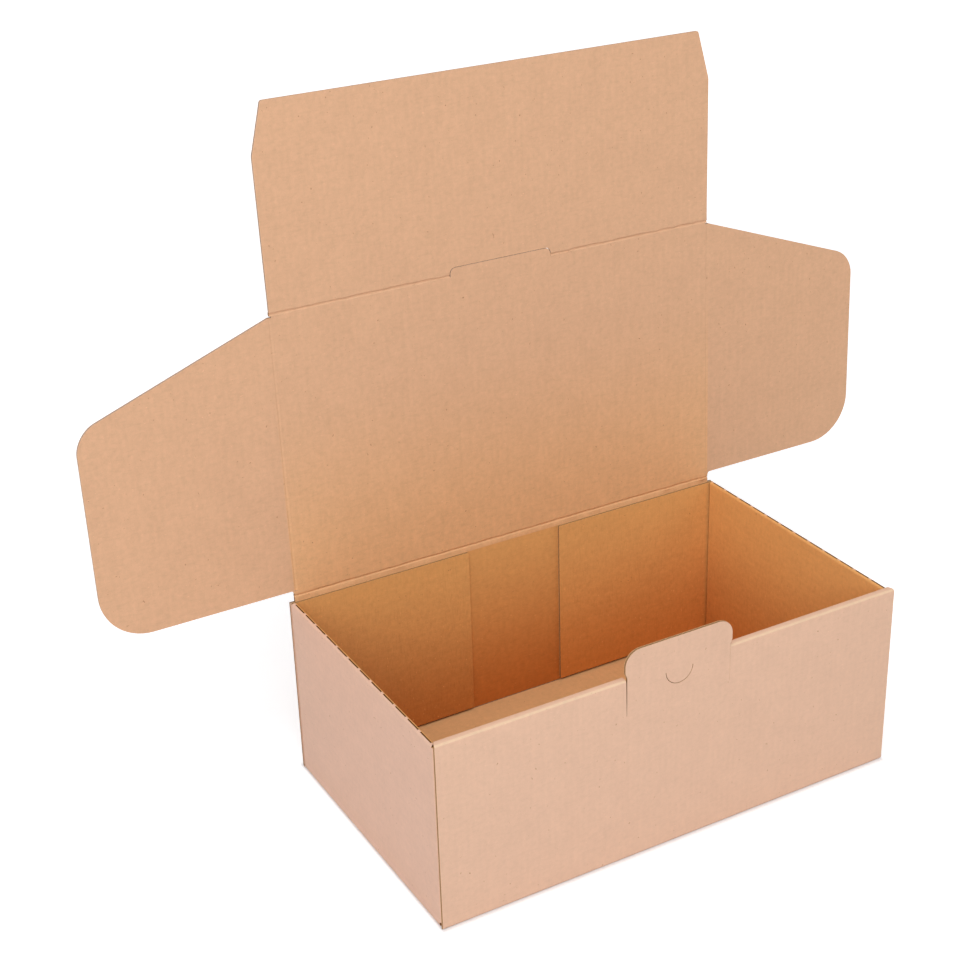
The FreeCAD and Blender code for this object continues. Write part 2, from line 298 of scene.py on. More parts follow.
def cut_edge(name, middle, turn, ply_pitch=50.0, colour=CUT_KRAFT):
    """A raw cut edge: two pale liners with the wavy flute between them over hollows darkened by painted
    shade.
    """
    finish, shader, place = new_finish(name, middle, turn)
    across = place.node("ShaderNodeSeparateXYZ", None, {0: place}, 0)
    depth = place.node("ShaderNodeSeparateXYZ", None, {0: place}, 2)
    depth = depth.maths("WRAP", depth, ply_pitch / 2, -ply_pitch / 2)
    ragged = place.noise(0.9, 2)
    wave = (across * (2 * pi / FLUTE) + ragged).sine()
    flute = 1 - (depth - wave * 0.32).size().step(0.07, 0.16)
    edge = depth.size().step(0.4, 0.48)
    torn = edge.maths("MAXIMUM", edge, flute * 0.75)
    paper = (0.5 + ragged * 1.2).mix(shade(colour, 0.75), shade(colour, 1.15))
    # painted shade in the hollows: the paper there at 0.38 of its brightness
    paper = torn.mix(shade(colour, 0.38), paper)
    place.tree.links.new(paper.socket, shader.inputs["Base Color"])
    shader.inputs["Roughness"].default_value = 0.9
    shader.inputs["Specular IOR Level"].default_value = 0.05
    return finish


def finishes(piece, outside, inside, middle, turn, ply_pitch=50.0, painted_tone=None, raw=CUT_KRAFT):
    """The three materials of one piece: outside liner, inside liner and cut edge."""
    return (
        liner(piece + "_outside_liner", outside, middle, turn),
        liner(piece + "_inside_liner", inside, middle, turn, 1.6, painted_tone),
        cut_edge(piece + "_cut_edge", middle, turn, ply_pitch, raw),
    )


FLAT = lie((1, 0, 0), (0, 1, 0))
low, high = ((way * BASE_REACH[0], way * BASE_REACH[1], BOARD / 2) for way in (-1, 1))
base = start_panel("base", low, high)
slot_half = BOARD / 2 + PLY_GAP
slot_length = TAB_WIDTH / 2 + PLY_GAP
score("X", sorted(side * (END_INNER_PLY + way * slot_half) for side in (-1, 1) for way in (-1, 1)))
score("Y", [place + way * slot_length for place in END_TABS for way in (-1, 1)])
cut_away(
    lambda x, y, z: abs(abs(x) - END_INNER_PLY) < slot_half + HAIR
    and abs(abs(y) - END_TABS[1]) < slot_length + HAIR
)
score("X", [place + way * slot_length for place in FRONT_TABS for way in (-1, 1)])
score("Y", [FRONT_INNER_PLY + way * slot_half for way in (-1, 1)])
cut_away(
    lambda x, y, z: abs(y - FRONT_INNER_PLY) < slot_half + HAIR
    and abs(abs(x) - FRONT_TABS[1]) < slot_length + HAIR
)
face_outside((0, 0, -1))
make_board(base, *finishes("base", OUTSIDE_KRAFT, FLOOR_BOUNCE_KRAFT, (0, 0, BOARD / 2), FLAT))
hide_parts("tray")
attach(base, "tray")


# Back wall: one layer folded up from the base. Its raw side edges show at both corners,
# and the lid is creased to its top edge, so it ends just below that crease.
WALL_HEIGHT = 98.0
BACK_TOP = 95.8              # above this the crease of the lid begins
BACK_BARE = 124.4            # beyond this the corner flap leaves the inside of the wall bare
BACK_PLY = HALF_WIDTH - BOARD / 2
BEND = 0.85                  # radius of a fold at the middle of the board
FOLD_PRESS = 0.4             # the fold at the floor is pressed in this far, which gives it a dark line, darkened further with painted shade
UPRIGHT = lie((1, 0, 0), (0, 0, 1))
# The tray's inside liner, painted more orange than the lid's same paper: painted bounce light between the
# brown walls.
RIM_BOUNCE_KRAFT = (0.76, 0.395, 0.135)
BACK_EDGE = (0.58, 0.38, 0.26)
# Painted shade: low inside the tray the liner is painted a deep orange brown, for the shade there and the
# light bounced between brown walls.
DEEP_SHADE_KRAFT = (0.54, 0.174, 0.031)
DEEP_SHADE_FOOT = -12              # the liner is painted deep brown, as shade, at this height and below
DEEP_SHADE_HEAD = 103              # and as light as at the rim, without painted shade, from this height on
# the back wall's painted shade is a little lighter
BACK_SHADE_SHARE = 1.07


def near(a, b):
    return abs(a - b) < HAIR


def pull(test, x=0.0, y=0.0, z=0.0):
    """Draws new board out of the chosen edges."""
    select("EDGE", test)
    bpy.ops.mesh.extrude_region_move(TRANSFORM_OT_translate={"value": (x * MM, y * MM, z * MM)})


def push(test, x=0.0, y=0.0, z=0.0):
    select("VERT", test)
    bpy.ops.transform.translate(value=(x * MM, y * MM, z * MM))


def bend(test, radius=BEND, steps=4):
    """Rounds the chosen fold lines."""
    select("EDGE", test)
    bpy.ops.mesh.bevel(offset=(radius - HAIR) * MM, segments=steps, affect="EDGES", clamp_overlap=False)


def painted_shade(share):
    """Painted shade low inside the tray: its deep brown, as a share of its colour, with its heights."""
    return tuple(c * share for c in DEEP_SHADE_KRAFT), DEEP_SHADE_FOOT, DEEP_SHADE_HEAD


def paint(finish, test):
    """Gives the chosen faces another finish of the piece."""
    bpy.ops.object.mode_set(mode="EDIT")
    select("FACE", test)
    bpy.context.object.active_material_index = finish
    bpy.ops.object.material_slot_assign()
    bpy.ops.object.mode_set(mode="OBJECT")


back_wall = start_panel(
    "back_wall", (-HALF_LENGTH, BACK_PLY, BOARD / 2), (HALF_LENGTH, BACK_PLY, BACK_TOP), (pi / 2, 0, 0)
)
pull(lambda x, y, z: near(z, BOARD / 2), y=-BEND)
score("X", (-BACK_BARE, BACK_BARE))
bend(lambda x, y, z: near(y, BACK_PLY) and near(z, BOARD / 2))
face_outside((0, 1, 0))
back_painted_shade = painted_shade(BACK_SHADE_SHARE)
back_finishes = finishes(
    "back_wall", OUTSIDE_KRAFT, RIM_BOUNCE_KRAFT, (0, BACK_PLY, 0), UPRIGHT, painted_tone=back_painted_shade, raw=BACK_EDGE
)
make_board(back_wall, *back_finishes, cut=lambda x, y, z: z < BACK_TOP - HAIR)
inner_face = BACK_PLY - BOARD / 2
paint(OUTSIDE, lambda x, y, z: abs(x) > BACK_BARE - HAIR and y < inner_face + HAIR)
# painted shade: the inside of the fold at the floor takes the dark cut-edge finish, for the shade in the
# crease
paint(RAW, lambda x, y, z: y < inner_face + HAIR and BOARD - HAIR < z < BOARD + 0.3)
bpy.ops.object.mode_set(mode="EDIT")
push(
    lambda x, y, z: abs(x) < HALF_LENGTH - 1
    and BACK_PLY - BEND + 0.05 < y < inner_face - HAIR
    and BOARD + HAIR < z < BOARD + 0.15,
    y=FOLD_PRESS,
    z=-FOLD_PRESS,
)
bpy.ops.object.mode_set(mode="OBJECT")
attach(back_wall, "tray")


# End walls: each folds up from the base, turns over along a perforated line and comes down inside,
# where two tabs lock it into the base. Along the top only the short ties between the cuts hold.
END_HEIGHT = 96.5
END_FRONT = -(HALF_WIDTH - BOARD - PLY_GAP) + BEND + BOARD / 2
END_BACK = -END_FRONT
INNER_FRONT = -70.5
INNER_BACK = 71.1
PERF_COUNT = 12
PERF_CUT = 9.6
PERF_TIE = 2.2
CREST_HALF = 0.19            # a cut takes away the crest of the roll: this far from its middle
CREST_DROP = 0.3             # and this far down from the middle of the board on top
ROLL_SHADE_DROP = 1.35           # the inner half of the roll is painted with the darker inside finish this far down, as painted shade
SIDEWAYS = lie((0, 0, 1), (0, 1, 0))
END_KRAFT = (0.725, 0.47, 0.352)

for side, name in ((-1, "left_end_wall"), (1, "right_end_wall")):
    outer, inner = side * END_PLY, side * END_INNER_PLY
    top = END_HEIGHT - BOARD / 2
    end_wall = start_panel(name, (outer, END_FRONT, BOARD / 2), (outer, END_BACK, top), (0, pi / 2, 0))
    pull(lambda x, y, z: near(z, BOARD / 2), x=-side * BEND)
    pull(lambda x, y, z: near(z, top), x=inner - outer)
    for way, shift in ((-1, INNER_FRONT - END_FRONT), (1, INNER_BACK - END_BACK)):
        push(lambda x, y, z: near(x, inner) and near(z, top) and y * way > 0, y=shift)
    pull(lambda x, y, z: near(x, inner) and near(z, top), z=BOARD + PLY_GAP - top)
    pitch = PERF_CUT + PERF_TIE
    cuts = [pitch * (i - (PERF_COUNT - 1) / 2) for i in range(PERF_COUNT)]
    cut_ends = [cut + way * PERF_CUT / 2 for cut in cuts for way in (-1, 1)]
    score("Y", cut_ends, lambda x, y, z: z > END_HEIGHT / 2)
    bend(lambda x, y, z: near(x, outer) and near(z, BOARD / 2))
    bend(lambda x, y, z: near(z, top) and (near(x, outer) or near(x, inner)), (BOARD + PLY_GAP) / 2, 7)
    middle = (outer + inner) / 2
    for cut in cuts:
        cut_away(
            lambda x, y, z: z > top - CREST_DROP
            and abs(x - middle) < CREST_HALF
            and abs(y - cut) < PERF_CUT / 2 + HAIR
        )
    tab_sides = [place + way * TAB_WIDTH / 2 for place in END_TABS for way in (-1, 1)]
    score("Y", tab_sides, lambda x, y, z: near(x, inner))
    pull(
        lambda x, y, z: near(z, BOARD + PLY_GAP) and abs(abs(y) - END_TABS[1]) < TAB_WIDTH / 2 + HAIR,
        z=-BOARD,
    )
    face_outside((side, 0, 0))
    ply_pitch = BOARD + PLY_GAP
    thicken(
        end_wall,
        *finishes(name, END_KRAFT, RIM_BOUNCE_KRAFT, (outer, 0, 0), SIDEWAYS, ply_pitch, painted_tone=painted_shade(1.0)),
    )
    inner_face = END_INNER_PLY - BOARD / 2
    # The face towards the middle gets the inside finish; the inner half of the roll's top gets it too, as
    # painted shade.
    paint(
        INSIDE,
        lambda x, y, z: abs(x) < inner_face + HAIR
        or (abs(x) < abs(middle) - 0.1 and z > END_HEIGHT - ROLL_SHADE_DROP),
    )
    trim_edges(end_wall)
    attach(end_wall, "tray")


# Corner flaps: they fold off both sides of each end wall and lie along the back and the front wall.
# The back pair shows inside the box with its free edges apart, the front pair is caught in the front wall.
FLAP_TOP = 96.0
FLAP_BOTTOM = 2.5
FLAP_PLY = HALF_WIDTH - BOARD - PLY_GAP - BOARD / 2
BACK_FLAP_END = HALF_LENGTH - 99.0
FRONT_FLAP_END = HALF_LENGTH - 93.0
FLAP_CORNER = 0.8
LENGTHWAYS = lie((0, 0, 1), (1, 0, 0))
FLAP_EDGE = (0.60, 0.34, 0.15)


def round_corner(test, radius, steps=8):
    """Rounds the chosen corners of a flat panel."""
    select("VERT", test)
    bpy.ops.mesh.bevel(offset=radius * MM, segments=steps, affect="VERTICES", clamp_overlap=False)


for side, left_right in ((-1, "left"), (1, "right")):
    # painted shade, lighter on the right flaps than on the left
    flap_painted_shade = painted_shade(0.99 + 0.10 * side)  # the right wall gets more light than the left
    for way, free_end, front_back in ((1, BACK_FLAP_END, "back"), (-1, FRONT_FLAP_END, "front")):
        name = "%s_%s_corner_flap" % (front_back, left_right)
        ply = way * FLAP_PLY
        low, high = sorted((side * free_end, side * END_PLY))
        flap = start_panel(name, (low, ply, FLAP_BOTTOM), (high, ply, FLAP_TOP), (pi / 2, 0, 0))
        pull(lambda x, y, z: near(x, side * END_PLY), y=-way * BEND)
        bend(lambda x, y, z: near(x, side * END_PLY) and near(y, ply))
        round_corner(lambda x, y, z: near(x, side * free_end), FLAP_CORNER, 3)
        face_outside((0, way, 0))
        make_board(
            flap,
            *finishes(name, END_KRAFT, RIM_BOUNCE_KRAFT, (0, ply, 0), LENGTHWAYS, painted_tone=flap_painted_shade, raw=FLAP_EDGE),
        )
        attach(flap, "tray")


# Front wall: it folds up from the base, rolls over the two corner flaps and locks into the base.
# A tongue is cut free in its outer ply and stands above the edge, with a half-moon cut for the thumb.
TONGUE_NECK = 28.4
TONGUE_HEAD = 29.4
TONGUE_TOP = 112.5
TONGUE_CORNER = 8.0
KERF = 0.4
RIGHT_GAP = 0.07             # the tongue leans a little to the right, where its slit is almost closed
FOOT_GAP = 0.06
SLIT_FOOT = 79.0
NOTCH_FOOT = 88.0
THROAT = 99.2
HEAD_RISE = 2.0              # from the throat to the tongue's full width
THROAT_CORNER = 0.9
ROLL_BEND = 0.76
THUMB_HEIGHT = 95.0
THUMB_RADIUS = 7.4
THUMB_KERF = 0.3
TONGUE_EDGE = (0.60, 0.35, 0.17)
RIDGE_HIGHLIGHT = 3                    # a fourth finish of this piece: the liner painted paler along the fold's crest, a painted highlight
RIDGE_HIGHLIGHT_KRAFT = (0.79, 0.55, 0.37)
HIGHLIGHT_DEPTH = 0.25           # from the middle of the outer ply
HIGHLIGHT_DROP = 0.9             # from the top
SHUT_SLIT = 0.3              # the raw edges of the right slit, this close to it, stay pressed together

fold = WALL_HEIGHT - BOARD / 2
front_wall = start_panel(
    "front_wall", (-HALF_LENGTH, FRONT_PLY, BOARD / 2), (HALF_LENGTH, FRONT_PLY, fold), (pi / 2, 0, 0)
)
pull(lambda x, y, z: near(z, BOARD / 2), y=BEND)
pull(lambda x, y, z: near(z, fold), y=FRONT_INNER_PLY - FRONT_PLY)
for side in (-1, 1):
    push(lambda x, y, z: near(y, FRONT_INNER_PLY) and x * side > 0, x=-side * (BOARD + PLY_GAP))
pull(lambda x, y, z: near(y, FRONT_INNER_PLY) and near(z, fold), z=BOARD + PLY_GAP - fold)
slit = TONGUE_NECK + KERF
score("X", (-slit, -TONGUE_NECK, TONGUE_NECK, slit))
score("Z", (SLIT_FOOT,), lambda x, y, z: near(y, FRONT_PLY))
score("Z", (NOTCH_FOOT,), lambda x, y, z: near(y, FRONT_INNER_PLY))
cut_away(
    lambda x, y, z: near(y, FRONT_PLY)
    and z > SLIT_FOOT - HAIR
    and TONGUE_NECK - HAIR < abs(x) < slit + HAIR
)
cut_away(lambda x, y, z: y > FRONT_PLY - HAIR and abs(x) < slit + HAIR and near(z, fold))
cut_away(lambda x, y, z: near(y, FRONT_INNER_PLY) and abs(x) < slit + HAIR and z > NOTCH_FOOT - HAIR)
bend(lambda x, y, z: near(y, FRONT_PLY) and near(z, BOARD / 2))
bend(
    lambda x, y, z: near(z, fold)
    and abs(x) > slit - HAIR
    and (near(y, FRONT_PLY) or near(y, FRONT_INNER_PLY)),
    radius=ROLL_BEND,
)
push(lambda x, y, z: near(x, slit), x=RIGHT_GAP - KERF)
for side, gap in ((-1, KERF), (1, RIGHT_GAP)):
    edge = side * (TONGUE_NECK + gap)
    push(lambda x, y, z: near(x, edge) and near(z, SLIT_FOOT), x=side * (FOOT_GAP - gap))
pull(lambda x, y, z: near(z, fold) and abs(x) < TONGUE_NECK + HAIR, z=THROAT - fold)
pull(lambda x, y, z: near(z, THROAT), z=HEAD_RISE)
head_foot = THROAT + HEAD_RISE
for side in (-1, 1):
    push(lambda x, y, z: near(z, head_foot) and x * side > 0, x=side * (TONGUE_HEAD - TONGUE_NECK))
pull(lambda x, y, z: near(z, head_foot), z=TONGUE_TOP - THROAT - HEAD_RISE)
round_corner(lambda x, y, z: near(z, TONGUE_TOP), TONGUE_CORNER, 10)
round_corner(lambda x, y, z: near(z, THROAT) or near(z, head_foot), THROAT_CORNER, 3)
tab_sides = [place + way * TAB_WIDTH / 2 for place in FRONT_TABS for way in (-1, 1)]
score("X", tab_sides, lambda x, y, z: near(y, FRONT_INNER_PLY))
pull(
    lambda x, y, z: near(z, BOARD + PLY_GAP) and abs(abs(x) - FRONT_TABS[1]) < TAB_WIDTH / 2 + HAIR,
    z=-BOARD,
)
face_outside((0, -1, 0))
roll = 2 * (BOARD + PLY_GAP)
front_finishes = finishes(
    "front_wall", OUTSIDE_KRAFT, RIM_BOUNCE_KRAFT, (0, FRONT_PLY, 0), UPRIGHT, roll, painted_shade(1.0), TONGUE_EDGE
)
thicken(front_wall, *front_finishes)
paint(INSIDE, lambda x, y, z: y > FRONT_INNER_PLY + BOARD / 2 - HAIR)
paint(OUTSIDE, lambda x, y, z: near(y, FRONT_PLY + BOARD / 2) and z > THROAT - HAIR)
front_wall.data.materials.append(liner("front_wall_ridge_highlight", RIDGE_HIGHLIGHT_KRAFT, (0, FRONT_PLY, 0), UPRIGHT))
# painted highlight along the crest of the front wall's fold, where it faces the light
paint(
    RIDGE_HIGHLIGHT,
    lambda x, y, z: y < FRONT_PLY + HIGHLIGHT_DEPTH
    and z > WALL_HEIGHT - HIGHLIGHT_DROP
    and abs(x) > TONGUE_NECK + RIGHT_GAP - HAIR,
)
trim_edges(
    front_wall,
    cut=lambda x, y, z: z >= fold
    or y >= FRONT_PLY + BOARD / 2 + HAIR
    or abs(x - TONGUE_NECK) >= SHUT_SLIT,
)

bpy.ops.object.select_all(action="DESELECT")
bpy.ops.mesh.primitive_plane_add(size=1, location=(-THUMB_RADIUS * MM, FRONT_PLY * MM, THUMB_HEIGHT * MM))
thumb_cut = bpy.context.object
thumb_cut.scale = (THUMB_KERF * MM, 2 * BOARD * MM, 1)
bpy.ops.object.transform_apply(location=True, rotation=True, scale=True)
bpy.ops.object.mode_set(mode="EDIT")
bpy.ops.mesh.select_all(action="SELECT")
bpy.ops.mesh.spin(steps=20, angle=pi, center=(0, FRONT_PLY * MM, THUMB_HEIGHT * MM), axis=(0, 1, 0))
bpy.ops.mesh.select_all(action="SELECT")
bpy.ops.mesh.remove_doubles(threshold=0.001 * MM)
bpy.ops.mesh.normals_make_consistent(inside=False)
bpy.ops.object.mode_set(mode="OBJECT")
thumb_cut.data.materials.append(front_finishes[RAW])
bpy.context.view_layer.objects.active = front_wall
half_moon = front_wall.modifiers.new("half moon", "BOOLEAN")
half_moon.operation = "DIFFERENCE"
half_moon.solver = "EXACT"
half_moon.object = thumb_cut
bpy.ops.object.modifier_apply(modifier="half moon")
bpy.data.objects.remove(thumb_cut)
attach(front_wall, "tray")


# Lid: the top panel, creased to the back wall and standing a little past upright.
# The middle of its front edge runs on as a low bump, cut free from the tuck flap.
HINGE = Vector((0, BACK_PLY, 98.95))
LEAN = radians(2.0)
CREASE = 0.95                # from a fold's line to the panels on both sides of it
LID_SIDE = 121.3
LID_DEPTH = 144.1
BUMP_HALF = 28.0
BUMP_END = 147.75
BUMP_CORNER = 3.0
FLAP_LOW = 2.75
NOTCH_END = 123.3            # how far in the round notch between a side flap and the tray reaches
NOTCH_ROUND = {2.2: 0.4, FLAP_LOW: 1.2}  # heights at which it curves outwards, and how far
INSIDE_KRAFT = (0.695, 0.410, 0.245)
# Painted bounce light: low down near the hinge the lid's inside and its creases turn warmer, as if lit by
# the brown tray below.
LID_BOUNCE_TONE = ((0.765, 0.425, 0.205), 90, 215)
LID_EDGE = (0.74, 0.53, 0.41)
LEANING = lie((1, 0, 0), (0, sin(LEAN), cos(LEAN)))


def stand_on_hinge(piece):
    """Moves a piece that was built upright on the hinge line to the lid's own lean."""
    bpy.ops.object.select_all(action="DESELECT")
    piece.select_set(True)
    bpy.context.view_layer.objects.active = piece
    piece.location = HINGE * MM
    piece.rotation_euler = (-LEAN, 0, 0)
    bpy.ops.object.transform_apply(location=True, rotation=True, scale=True)


lid = start_panel("lid", (-LID_SIDE, 0, CREASE), (LID_SIDE, 0, LID_DEPTH - CREASE), (pi / 2, 0, 0))
score("Z", NOTCH_ROUND)
for side in (-1, 1):
    pull(lambda x, y, z: near(x, side * LID_SIDE) and z < FLAP_LOW + HAIR, x=side * (NOTCH_END - LID_SIDE))
    for height, out in NOTCH_ROUND.items():
        push(lambda x, y, z: near(x, side * NOTCH_END) and near(z, height), x=side * out)
score("X", (-BUMP_HALF, BUMP_HALF))
front_edge = LID_DEPTH - CREASE
pull(lambda x, y, z: near(z, front_edge) and abs(x) < BUMP_HALF + HAIR, z=BUMP_END - front_edge)
round_corner(lambda x, y, z: near(z, BUMP_END), BUMP_CORNER, 6)
face_outside((0, 1, 0))
make_board(
    lid,
    *finishes("lid", OUTSIDE_KRAFT, INSIDE_KRAFT, HINGE, LEANING, painted_tone=LID_BOUNCE_TONE, raw=LID_EDGE),
    cut=lambda x, y, z: z > CREASE + HAIR
    and (abs(x) < BUMP_HALF + HAIR or z < front_edge - HAIR)
    and not near(abs(x), LID_SIDE),
)
stand_on_hinge(lid)
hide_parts("lid")
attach(lid, "lid")


# Side flaps: one on each side of the lid, wide with two rounded outer corners and a sloping front edge.
# They fold in under the lid and stand against the end walls when the box is shut.
FLAP_AXIS = 122.25
FLAP_REACH = 96.8
FLAP_HIGH = 142.9
FLAP_TAPER = 35.0
FLAP_LOW_CORNER = 24.0
FLAP_HIGH_CORNER = 10.5

for side, name in ((-1, "left_side_flap"), (1, "right_side_flap")):
    low, high = sorted((side * (FLAP_AXIS + CREASE), side * (FLAP_AXIS + FLAP_REACH)))
    tip = side * (FLAP_AXIS + FLAP_REACH)
    flap = start_panel(name, (low, 0, FLAP_LOW), (high, 0, FLAP_HIGH), (pi / 2, 0, 0))
    push(lambda x, y, z: near(x, tip) and near(z, FLAP_HIGH), z=-FLAP_TAPER)
    push(lambda x, y, z: not near(x, tip) and near(z, FLAP_HIGH), z=-FLAP_TAPER * CREASE / FLAP_REACH)
    round_corner(lambda x, y, z: near(x, tip) and near(z, FLAP_LOW), FLAP_LOW_CORNER, 14)
    round_corner(lambda x, y, z: near(x, tip) and near(z, FLAP_HIGH - FLAP_TAPER), FLAP_HIGH_CORNER, 10)
    face_outside((0, 1, 0))
    make_board(
        flap,
        *finishes(name, OUTSIDE_KRAFT, INSIDE_KRAFT, HINGE, LEANING, raw=LID_EDGE),
        cut=lambda x, y, z: not near(abs(x), FLAP_AXIS + CREASE),
    )
    stand_on_hinge(flap)
    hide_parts(name)
    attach(flap, name)


# Tuck flap: the lid's front flap, a little wider towards its free edge, where both corners are cut off.
# It is cut out round the lid's bump, so that the tongue can pass when the box is shut.
TUCK_ROOT = 122.2
TUCK_SIDE = 122.9
TUCK_TIP = 116.6
TUCK_SHOULDER = LID_DEPTH + 73.0
TUCK_END = LID_DEPTH + 97.0
TUCK_CORNER = 1.0
SLOT_HALF = 29.7
SLOT_END = 150.33

root = LID_DEPTH + CREASE
tuck_flap = start_panel("tuck_flap", (-TUCK_ROOT, 0, root), (TUCK_ROOT, 0, SLOT_END), (pi / 2, 0, 0))
score("X", (-SLOT_HALF, SLOT_HALF))
cut_away(lambda x, y, z: abs(x) < SLOT_HALF + HAIR)
pull(lambda x, y, z: near(z, SLOT_END), z=TUCK_SHOULDER - SLOT_END)
select("EDGE", lambda x, y, z: near(abs(x), SLOT_HALF) and z > SLOT_END - HAIR)
bpy.ops.mesh.bridge_edge_loops()
for side in (-1, 1):
    corner = side * TUCK_ROOT
    push(lambda x, y, z: near(z, TUCK_SHOULDER) and near(x, corner), x=side * (TUCK_SIDE - TUCK_ROOT))
pull(lambda x, y, z: near(z, TUCK_SHOULDER), z=TUCK_END - TUCK_SHOULDER)
for side in (-1, 1):
    corner = side * TUCK_SIDE
    push(lambda x, y, z: near(z, TUCK_END) and near(x, corner), x=side * (TUCK_TIP - TUCK_SIDE))
round_corner(lambda x, y, z: abs(x) > SLOT_HALF + HAIR and z > TUCK_SHOULDER - HAIR, TUCK_CORNER, 3)
face_outside((0, 1, 0))
make_board(
    tuck_flap,
    *finishes("tuck_flap", OUTSIDE_KRAFT, INSIDE_KRAFT, HINGE, LEANING, raw=LID_EDGE),
    cut=lambda x, y, z: z > root + HAIR and (abs(x) > SLOT_HALF + HAIR or z > SLOT_END + HAIR),
)
stand_on_hinge(tuck_flap)
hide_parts("tuck_flap")
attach(tuck_flap, "tuck_flap")


# Slot lip: the rim of the tuck flap round the lid's bump, parted from the bump by a fine cut only.
# The tongue presses it back as the box is shut.
LIP_GAP = 0.14
lip_side = BUMP_HALF + LIP_GAP
lip_foot = BUMP_END + LIP_GAP
lip = start_panel("slot_lip", (-SLOT_HALF, 0, root), (SLOT_HALF, 0, SLOT_END), (pi / 2, 0, 0))
score("X", (-lip_side, lip_side))
score("Z", (lip_foot,))
cut_away(lambda x, y, z: abs(x) < lip_side + HAIR and z < lip_foot + HAIR)
round_corner(lambda x, y, z: near(abs(x), lip_side) and near(z, lip_foot), BUMP_CORNER + LIP_GAP, 6)
face_outside((0, 1, 0))
make_board(
    lip,
    *finishes("slot_lip", OUTSIDE_KRAFT, INSIDE_KRAFT, HINGE, LEANING, raw=LID_EDGE),
    cut=lambda x, y, z: abs(x) < lip_side + HAIR and root + HAIR < z < SLOT_END - HAIR,
)
stand_on_hinge(lip)
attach(lip, "tuck_flap")
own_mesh(lip)


# Creases: at each fold that turns the board is pressed to a narrow valley between two panels,
# with a faint ridge behind it.
CREASE_SHAPE = {0.0: 1.0, 0.22: 0.85, 0.44: 0.45, 0.66: 0.12, 0.88: 0.0}  # mm off its line: share of depth
BACK_RIDGE = 0.3             # the ridge behind a valley, as a share of its depth
VALLEY_HALF = 0.7            # the valley wanders this far from its line
CREASE_STEP = 1.6
CRUMPLE = 6.0                # from one bend of the valley to the next
SOFT_ANGLE = 60
SIDE_CREASE_TOP = FLAP_HIGH - 0.4


def press_crease(name, low, high, across, line, depth, wave):
    """A strip of board with a pressed, slightly wavy valley, in the upright place of its panels."""

    def off_line(x, z):
        return abs((z if across == "Z" else x) - line)

    strip = start_panel(name, low, high, (pi / 2, 0, 0))
    score(across, sorted({line + side * place for place in CREASE_SHAPE for side in (-1, 1)}))
    along, first, last = ("X", low[0], high[0]) if across == "Z" else ("Z", low[2], high[2])
    count = int((last - first) / CREASE_STEP)
    score(along, [first + (last - first) * i / count for i in range(1, count)])
    face_outside((0, 1, 0))
    thicken(strip, *finishes(name, OUTSIDE_KRAFT, INSIDE_KRAFT, HINGE, LEANING, painted_tone=LID_BOUNCE_TONE))
    bpy.ops.object.mode_set(mode="EDIT")
    for place, share in CREASE_SHAPE.items():
        for face, amount in ((-1, depth), (1, BACK_RIDGE * depth)):
            push(lambda x, y, z: near(off_line(x, z), place) and y * face > 0, y=amount * share)
    select("VERT", lambda x, y, z: off_line(x, z) < VALLEY_HALF and y < 0)
    strip.vertex_groups.new(name="valley")
    bpy.ops.object.vertex_group_assign()
    bpy.ops.object.mode_set(mode="OBJECT")
    crumple = bpy.data.textures.new(name, "CLOUDS")
    crumple.noise_scale = CRUMPLE * MM
    crumple.noise_depth = 2
    for direction in ("Y", across):
        shift = strip.modifiers.new("crumple", "DISPLACE")
        shift.texture = crumple
        shift.texture_coords = "LOCAL"
        shift.direction = direction
        shift.vertex_group = "valley"
        shift.strength = wave * MM
        bpy.ops.object.modifier_apply(modifier="crumple")
    bpy.ops.object.shade_smooth_by_angle(angle=radians(SOFT_ANGLE))
    stand_on_hinge(strip)
    return strip


low, high = (-NOTCH_END, 0, BACK_TOP - HINGE.z), (NOTCH_END, 0, CREASE)
hinge_crease = press_crease("hinge_crease", low, high, "Z", line=0, depth=0.55, wave=0.6)
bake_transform(hinge_crease)

for side, name, body in (
    (-1, "left_side_crease", "left_side_flap"),
    (1, "right_side_crease", "right_side_flap"),
):
    start_x, end_x = side * (FLAP_AXIS - CREASE), side * (FLAP_AXIS + CREASE)
    near_x, far_x = sorted((start_x, end_x))
    low, high = (near_x, 0, FLAP_LOW), (far_x, 0, SIDE_CREASE_TOP)
    side_crease = press_crease(name, low, high, "X", line=side * FLAP_AXIS, depth=0.16, wave=0.2)
    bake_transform(side_crease)

for side, name in ((-1, "tuck_crease_left"), (1, "tuck_crease_right")):
    near_x, far_x = sorted((side * lip_side, side * TUCK_ROOT))
    low, high = (near_x, 0, front_edge), (far_x, 0, root)
    tuck_crease = press_crease(name, low, high, "Z", line=LID_DEPTH, depth=0.6, wave=0.8)
    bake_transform(tuck_crease)


# Camera: level with the viewer's chest, looking down at the open front, a little from the left.
VIEW_TURN = radians(28.687)
VIEW_DOWN = radians(25.76)
VIEW_ROLL = radians(-1.898)
EYE = (-0.41063, -0.64326, 0.52856)

camera = bpy.data.objects.new("camera", bpy.data.cameras.new("camera"))
bpy.context.scene.collection.objects.link(camera)
camera.data.sensor_width = 36
camera.data.lens = 67.53
camera.data.clip_start = 0.01
camera.matrix_world = (
    Matrix.Translation(EYE)
    @ Matrix.Rotation(-VIEW_TURN, 4, "Z")
    @ Matrix.Rotation(pi / 2 - VIEW_DOWN, 4, "X")
    @ Matrix.Rotation(VIEW_ROLL, 4, "Z")
)
bpy.context.scene.camera = camera


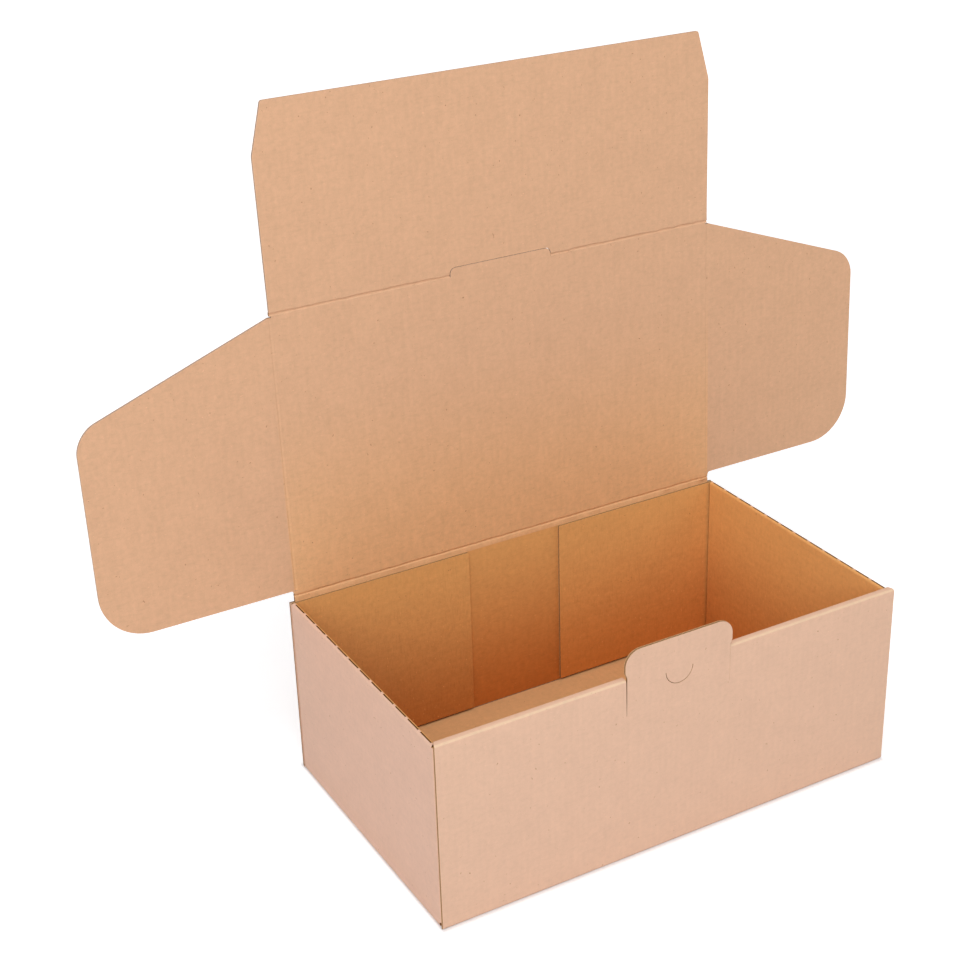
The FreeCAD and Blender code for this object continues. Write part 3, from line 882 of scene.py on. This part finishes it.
# Floor: a plain white sheet that the box stands on, which keeps the soft shadow beside the tray.
# Its glow shows to the eye and in reflections, but not under the box or right beside its walls, which
# leaves a thin painted shadow there.
SHEET_SIZE = 12
GLOW = 0.43                  # near the box
FAR_GLOW = 0.25              # what is added further out
GLOW_FADE = (0.3, 1.5)       # metres from the middle
END_PAINTED_SHADOW = (-0.5, 1.6)     # mm beyond the end walls between which the glow sets in
SIDE_PAINTED_SHADOW = (-0.2, 4.0)    # and beyond the front and the back wall

bpy.ops.object.select_all(action="DESELECT")
bpy.ops.mesh.primitive_plane_add(size=SHEET_SIZE, location=(0, 0, 0))
floor = bpy.context.object
floor.name = "floor"
white = bpy.data.materials.new("white_sheet")
white.use_nodes = True
sheet = white.node_tree.nodes["Principled BSDF"]
sheet.inputs["Base Color"].default_value = (0.86, 0.86, 0.88, 1)
sheet.inputs["Roughness"].default_value = 0.8
spot = Pulp(white.node_tree).node("ShaderNodeTexCoord", None, None, "Object")
distance = spot.node("ShaderNodeVectorMath", {"operation": "LENGTH"}, {0: spot}, "Value")


def seen_white(value):
    """1 for what the camera sees straight on, in a reflection or through glass, 0 for other rays."""
    rays = ("Is Camera Ray", "Is Glossy Ray", "Is Transmission Ray")
    return sum(value.node("ShaderNodeLightPath", None, None, ray) for ray in rays)


def past(axis, edge, shadow):
    """0 up to where the painted shadow beyond an edge starts to fade, 1 from where it ends."""
    out = spot.node("ShaderNodeSeparateXYZ", None, {0: spot}, axis).size() * (1 / MM)
    return out.step(edge + shadow[0], edge + shadow[1])


# painted shadow: the glow is left out in a thin band right beside the walls
ends = past(0, HALF_LENGTH, END_PAINTED_SHADOW)
beyond_painted_shadow = ends.maths("MAXIMUM", ends, past(1, HALF_WIDTH, SIDE_PAINTED_SHADOW))
glow = seen_white(spot) * beyond_painted_shadow * (GLOW + distance.step(*GLOW_FADE) * FAR_GLOW)
glow = glow.mix(shade((0, 0, 0), 1), shade((1, 1, 1), 1))
white.node_tree.links.new(glow.socket, sheet.inputs["Emission Color"])
sheet.inputs["Emission Strength"].default_value = 1.0
floor.data.materials.append(white)


# Light: a bright even room, with broad soft lamps above, to the front left and to the right.
# The camera, reflections and glass see the room plain white.
ROOM_LIGHT = 0.395

room = bpy.data.worlds.new("room")
bpy.context.scene.world = room
room.use_nodes = True
sky = room.node_tree.nodes["Background"]
sky.inputs["Color"].default_value = (1, 1, 1, 1)
seen = seen_white(Pulp(room.node_tree))
strength = ROOM_LIGHT + seen * (1 - ROOM_LIGHT)
room.node_tree.links.new(strength.socket, sky.inputs["Strength"])

for name, place, power, width in (
    ("top_lamp", (-0.3, -0.5, 1.9), 12, 1.2),
    ("front_lamp", (-0.95, -1.45, 1.15), 14.5, 1.2),
    ("left_lamp", (-1.9, -0.3, 0.8), 5, 1.0),
    ("right_lamp", (1.4, -0.9, 1.2), 3, 1.0),
):
    lamp = bpy.data.objects.new(name, bpy.data.lights.new(name, "AREA"))
    bpy.context.scene.collection.objects.link(lamp)
    lamp.data.size = width
    lamp.data.energy = power
    lamp.location = place
    lamp.rotation_euler = (Vector((0, 0, 0.12)) - lamp.location).to_track_quat("-Z", "Y").to_euler()

bpy.context.scene.view_settings.view_transform = "Standard"
